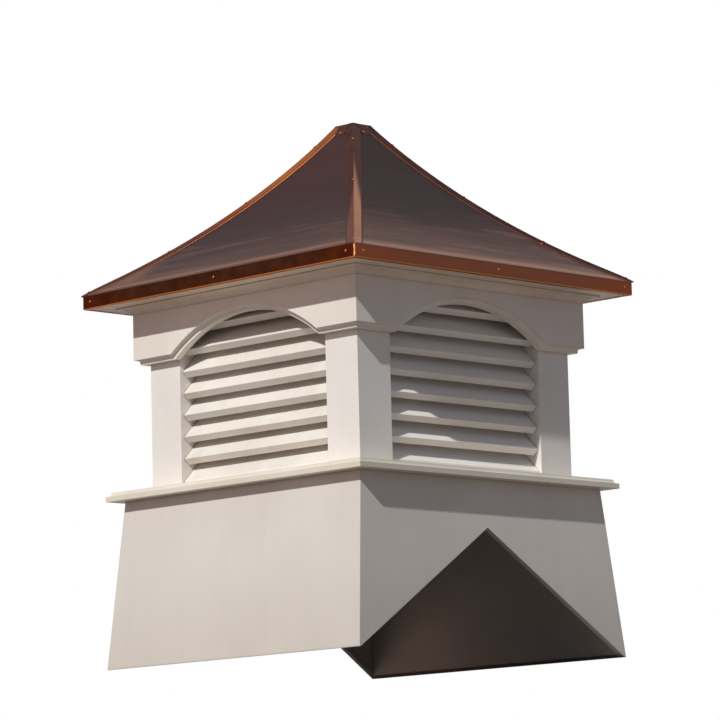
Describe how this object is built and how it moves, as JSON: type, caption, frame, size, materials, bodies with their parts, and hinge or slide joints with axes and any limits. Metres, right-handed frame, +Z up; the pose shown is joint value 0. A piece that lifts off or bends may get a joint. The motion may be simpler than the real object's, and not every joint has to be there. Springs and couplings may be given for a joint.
{
  "type": "barn cupola",
  "caption": "Square louvred roof cupola: flared skirt cut to straddle a ridge, arched friezes, fixed louvres and a concave copper roof.",
  "frame": {"origin": "centre of the plan, at the level of the lowest edge of the skirt", "axes": "+X along the roof ridge that it straddles, +Y towards the back, +Z up"},
  "size_m": [0.828, 0.828, 1.1435],
  "materials": {
    "white_pvc": "warm white cellular PVC board, smooth and matt",
    "copper_sheet": "copper sheet, lightly weathered to brown, with soft rolling streaks",
    "copper_trim": "folded copper strip, brighter along its bends"
  },
  "bodies": {
    "root": {"front_base_wall": "white_pvc", "front_ledge": "white_pvc", "front_louvre_panel": "white_pvc", "front_frieze_board": "white_pvc", "front_arch_trim": "white_pvc", "front_bed_mould": "white_pvc", "front_soffit": "white_pvc", "front_eave_fascia": "copper_trim", "front_roof_panel": "copper_sheet", "back_base_wall": "white_pvc", "back_ledge": "white_pvc", "back_louvre_panel": "white_pvc", "back_frieze_board": "white_pvc", "back_arch_trim": "white_pvc", "back_bed_mould": "white_pvc", "back_soffit": "white_pvc", "back_eave_fascia": "copper_trim", "back_roof_panel": "copper_sheet", "left_base_wall": "white_pvc", "left_ledge": "white_pvc", "left_louvre_panel": "white_pvc", "left_frieze_board": "white_pvc", "left_arch_trim": "white_pvc", "left_bed_mould": "white_pvc", "left_soffit": "white_pvc", "left_eave_fascia": "copper_trim", "left_roof_panel": "copper_sheet", "right_base_wall": "white_pvc", "right_ledge": "white_pvc", "right_louvre_panel": "white_pvc", "right_frieze_board": "white_pvc", "right_arch_trim": "white_pvc", "right_bed_mould": "white_pvc", "right_soffit": "white_pvc", "right_eave_fascia": "copper_trim", "right_roof_panel": "copper_sheet", "front_left_corner_post": "white_pvc", "front_left_hip_cap": "copper_trim", "front_right_corner_post": "white_pvc", "front_right_hip_cap": "copper_trim", "back_left_corner_post": "white_pvc", "back_left_hip_cap": "copper_trim", "back_right_corner_post": "white_pvc", "back_right_hip_cap": "copper_trim", "apex_cap": "copper_trim"}
  },
  "joints": []
}
